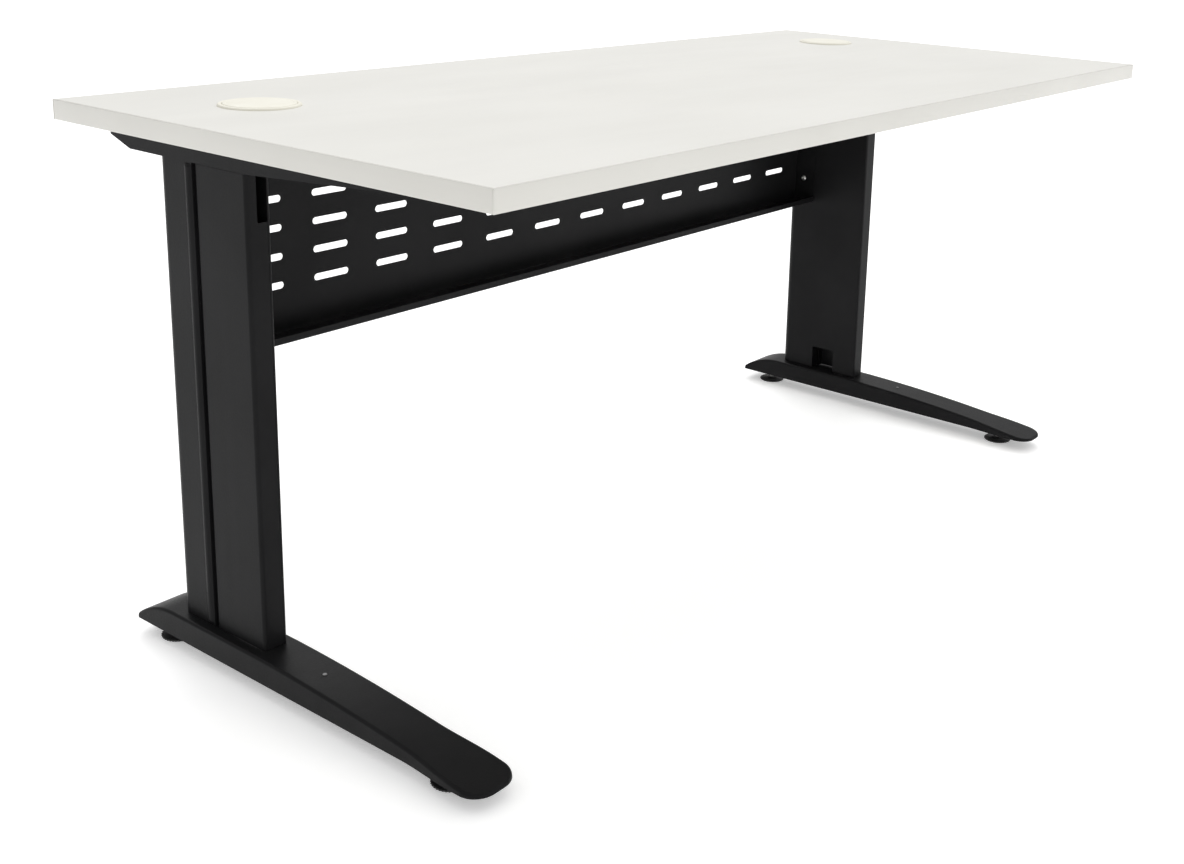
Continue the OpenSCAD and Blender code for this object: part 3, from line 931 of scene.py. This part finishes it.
def ribbed(radius, angle):
    """Finger ribs round the rim of a glide."""
    if radius < rim_inside:
        return radius
    return radius - rim_depth * abs(math.sin(rim_ribs * angle / 2)) ** rib_fullness


for end in ("front", "rear"):
    for side in ("left", "right"):
        body = f"glide_{end}_{side}"
        low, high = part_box(f"glide_base_{end}_{side}")
        centre = in_middle(low, high, low.z)
        radius = (high.x - low.x) / 2
        tall = high.z - low.z
        base_shape = bmesh.new()
        turn(base_shape, rounded([
            (0, 0, 0),
            (radius - pad_edge, 0, pad_edge_round),
            (radius, pad_edge, pad_edge_round),
            (radius, tall * rim_share, rim_round),
            (radius - shoulder_in, tall * shoulder_share, shoulder_round),
            (neck_radius, tall * neck_share, neck_round),
            (collar_radius, tall, collar_round),
            (0, tall, 0),
        ], closed=True), Matrix.Translation(centre), steps=rim_ribs * steps_per_rib, trim=ribbed)
        base = finish_piece("glide_pad_" + end + "_" + side, base_shape, nylon, soft_below=50)
        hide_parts(f"glide_base_{end}_{side}")
        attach(base, body)

        stud_low, stud_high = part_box(f"glide_stud_{end}_{side}")
        turns = (stud_high.z - stud_low.z) / thread_pitch
        stud_shape = bmesh.new()
        rings = []
        for step in range(int(turns * thread_along) + 1):
            height = stud_low.z + thread_pitch * step / thread_along
            ring = []
            for around in range(thread_around):
                angle = math.tau * around / thread_around
                phase = (height / thread_pitch - around / thread_around) % 1
                r = stud_radius - thread_depth * abs(2 * phase - 1)
                ring.append(Vector((centre.x + r * math.cos(angle),
                                    centre.y + r * math.sin(angle), height)))
            rings.append(ring)
        made = skin(stud_shape, rings)
        stud_shape.faces.new(made[0])
        stud_shape.faces.new(made[-1])
        stud = finish_piece("glide_thread_" + end + "_" + side, stud_shape, zinc, soft_below=20)
        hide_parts(f"glide_stud_{end}_{side}")
        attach(stud, body)

nut_low, nut_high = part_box("glide_nuts")
nut_height = nut_high.z - nut_low.z
nut_shape = bmesh.new()
for end in ("front", "rear"):
    for side in ("left", "right"):
        low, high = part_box(f"glide_base_{end}_{side}")
        turn(nut_shape, [
            (stud_radius, nut_countersink),
            (stud_radius + nut_countersink, 0),
            (nut_corner - nut_bevel_in, 0),
            (nut_corner, nut_bevel_up),
            (nut_corner, nut_height - nut_bevel_up),
            (nut_corner - nut_bevel_in, nut_height),
            (stud_radius, nut_height),
        ], Matrix.Translation(in_middle(low, high, nut_low.z)), steps=nut_steps,
            trim=hexagonal(nut_corner))
nuts = finish_piece("glide_hex_nuts", nut_shape, zinc)
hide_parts("glide_nuts")
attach(nuts, "frame")

for side in ("left", "right"):
    refinish("glide_plates_" + side, powder_coat)


# ---------------------------------------------------------------------------
# Modesty panel. A sheet of 1.2 mm steel with four rows of slots punched in
# its face, folded forward below into a cable ledge with a lip, folded
# forward along the top, and closed by a flange at each end.
# ---------------------------------------------------------------------------
panel_wall = 0.0012
panel_bend = 0.0022
panel_lip = 0.010
panel_top_fold = 0.015
slot_length = 0.059
slot_height = 0.00975
slot_columns = 12
slot_rows = 4
slot_along = 0.109
slot_up = 0.0396
slot_shift = 0.012
slot_round_share = 0.999
flange_corner = 0.004

low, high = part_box("modesty_panel")
sheet_path = rounded([
    (low.y, low.z + panel_lip, 0),
    (low.y, low.z, panel_bend),
    (high.y, low.z, panel_bend),
    (high.y, high.z, panel_bend),
    (high.y - panel_top_fold, high.z, 0),
])
panel_shape = bmesh.new()
folded_sheet(panel_shape, lambda level: sheet_path, panel_wall,
             (low.x + panel_wall, high.x - panel_wall),
             lambda point, across: Vector((across, point.x, point.y)))
punches = bmesh.new()
for column_number in range(slot_columns):
    for row in range(slot_rows):
        x = slot_shift + (column_number - (slot_columns - 1) / 2) * slot_along
        z = (low.z + high.z) / 2 + (row - (slot_rows - 1) / 2) * slot_up
        half_length, half_height = slot_length / 2, slot_height / 2
        end_round = half_height * slot_round_share
        outline = rounded([
            (x - half_length, z - half_height, end_round),
            (x + half_length, z - half_height, end_round),
            (x + half_length, z + half_height, end_round),
            (x - half_length, z + half_height, end_round),
        ], closed=True)
        prism(punches, outline, (high.y - hole_overshoot, high.y + hole_overshoot),
              lambda point, depth: Vector((point.x, depth, point.y)))
panel_shape = cut_away(panel_shape, punches)
for edge_x in (low.x, high.x - panel_wall):
    prism(panel_shape, rounded([
        (low.y, low.z, panel_bend),
        (high.y, low.z, panel_bend),
        (high.y, high.z, panel_bend),
        (low.y, high.z, flange_corner),
    ], closed=True), (edge_x, edge_x + panel_wall),
        lambda point, across: Vector((across, point.x, point.y)))
panel = finish_piece("panel_slotted", panel_shape, powder_coat)
keep_flats(panel)
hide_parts("modesty_panel")
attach(panel, "frame")


# ---------------------------------------------------------------------------
# Panel fixings. Two button-head bolts at each end go out through the
# panel's flange into rivet nuts that were set in the column before coating.
# ---------------------------------------------------------------------------
bolt_radius = 0.003
bolt_shank = 0.013
bolt_tip_round = 0.0006
bolt_head_radius = 0.0055
bolt_head_height = 0.0033
bolt_head_rim = 0.0014
bolt_button_round = 0.0020
bolt_crown_round = 0.0008
bolt_seat_round = 0.0003
bolt_socket = 0.0023
bolt_socket_edge = 0.0002
bolt_socket_land = 0.0012
bolt_socket_floor = 0.0012
bolt_up = 0.0456
bolt_steps = 48

bolt_low, bolt_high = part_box("panel_bolts")
panel_low, panel_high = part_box("modesty_panel")
bolt_y = (bolt_low.y + bolt_high.y) / 2
bolt_profile = rounded([
    (0, -bolt_socket_floor, 0),
    (bolt_socket, -bolt_socket_floor, 0),
    (bolt_socket, -bolt_head_height, bolt_socket_edge),
    (bolt_socket + bolt_socket_land, -bolt_head_height, bolt_crown_round),
    (bolt_head_radius, -bolt_head_rim, bolt_button_round),
    (bolt_head_radius, 0, bolt_seat_round),
    (bolt_radius, 0, 0),
    (bolt_radius, bolt_shank, bolt_tip_round),
    (0, bolt_shank, 0),
], closed=True)
bolt_shape = bmesh.new()
for side, hand in hands.items():
    for z in (panel_low.z + bolt_up, panel_high.z - bolt_up):
        face_x = hand * (panel_high.x - panel_wall)
        outward = Matrix.Rotation(hand * math.pi / 2, 4, "Y")
        turn(bolt_shape, bolt_profile, Matrix.Translation((face_x, bolt_y, z)) @ outward,
             steps=bolt_steps, trim=hexagonal(bolt_socket))
bolts = finish_piece("panel_button_bolts", bolt_shape, zinc)
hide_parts("panel_bolts")
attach(bolts, "frame")

refinish("panel_nuts", zinc)


# ---------------------------------------------------------------------------
# Studio. A plain white floor that glows a little, so that only the shadows
# close to the feet stay; a white sky, brightest overhead; one broad soft lamp
# high behind the desk, to its right; and the camera before its left end.
# ---------------------------------------------------------------------------
floor_half = 60
floor_white = (0.93, 0.93, 0.93, 1)
pure_white = (1, 1, 1, 1)
floor_glow = 0.33
sky_level = 0.60
sky_slope = (0.20, -0.12, 0.45)
lamp_strength = 1.0
lamp_spread = 50
lamp_tilt = (-28, 24, 0)

floor_mesh = bpy.data.meshes.new("studio_floor")
floor_corners = [(x * floor_half, y * floor_half, 0)
                 for x, y in ((-1, -1), (1, -1), (1, 1), (-1, 1))]
floor_mesh.from_pydata(floor_corners, [], [(0, 1, 2, 3)])
floor = bpy.data.objects.new("studio_floor", floor_mesh)
bpy.context.scene.collection.objects.link(floor)
floor_finish = new_finish("studio_white", Base_Color=floor_white, Roughness=1, Specular_IOR_Level=0,
                          Emission_Color=pure_white, Emission_Strength=floor_glow)[0]
floor_mesh.materials.append(floor_finish)

world = bpy.data.worlds.new("studio_sky")
world.use_nodes = True
sky = world.node_tree
sky_place = add(sky, "ShaderNodeTexCoord", {}).outputs["Generated"]
lean = add(sky, "ShaderNodeVectorMath", {0: sky_place, 1: sky_slope}, operation="DOT_PRODUCT")
glow = add(sky, "ShaderNodeMath", {0: lean.outputs["Value"], 1: sky_level}, operation="ADD")
sky.nodes["Background"].inputs["Color"].default_value = pure_white
sky.links.new(glow.outputs["Value"], sky.nodes["Background"].inputs["Strength"])
bpy.context.scene.world = world

lamp_data = bpy.data.lights.new("soft_lamp", "SUN")
lamp_data.energy = lamp_strength
lamp_data.angle = math.radians(lamp_spread)
lamp = bpy.data.objects.new("soft_lamp", lamp_data)
lamp.rotation_euler = [math.radians(angle) for angle in lamp_tilt]
bpy.context.scene.collection.objects.link(lamp)

camera_place = (-1.7242, -1.3016, 0.9989)
camera_heading = 54.20
camera_drop = 13.67
camera_roll = 2.09
camera_lens = 43.74
camera_sensor = 36
camera_shift = (-0.1101, -0.1579)
camera_reach = 200

camera_data = bpy.data.cameras.new("camera")
camera_data.sensor_width = camera_sensor
camera_data.lens = camera_lens
camera_data.shift_x, camera_data.shift_y = camera_shift
camera_data.clip_end = camera_reach
camera = bpy.data.objects.new("camera", camera_data)
aim = Euler((math.radians(90 - camera_drop), 0, math.radians(-camera_heading)))
camera.matrix_world = (Matrix.Translation(camera_place) @ aim.to_matrix().to_4x4()
                       @ Matrix.Rotation(math.radians(camera_roll), 4, "Z"))
bpy.context.scene.collection.objects.link(camera)
bpy.context.scene.camera = camera
bpy.context.scene.view_settings.view_transform = "Standard"
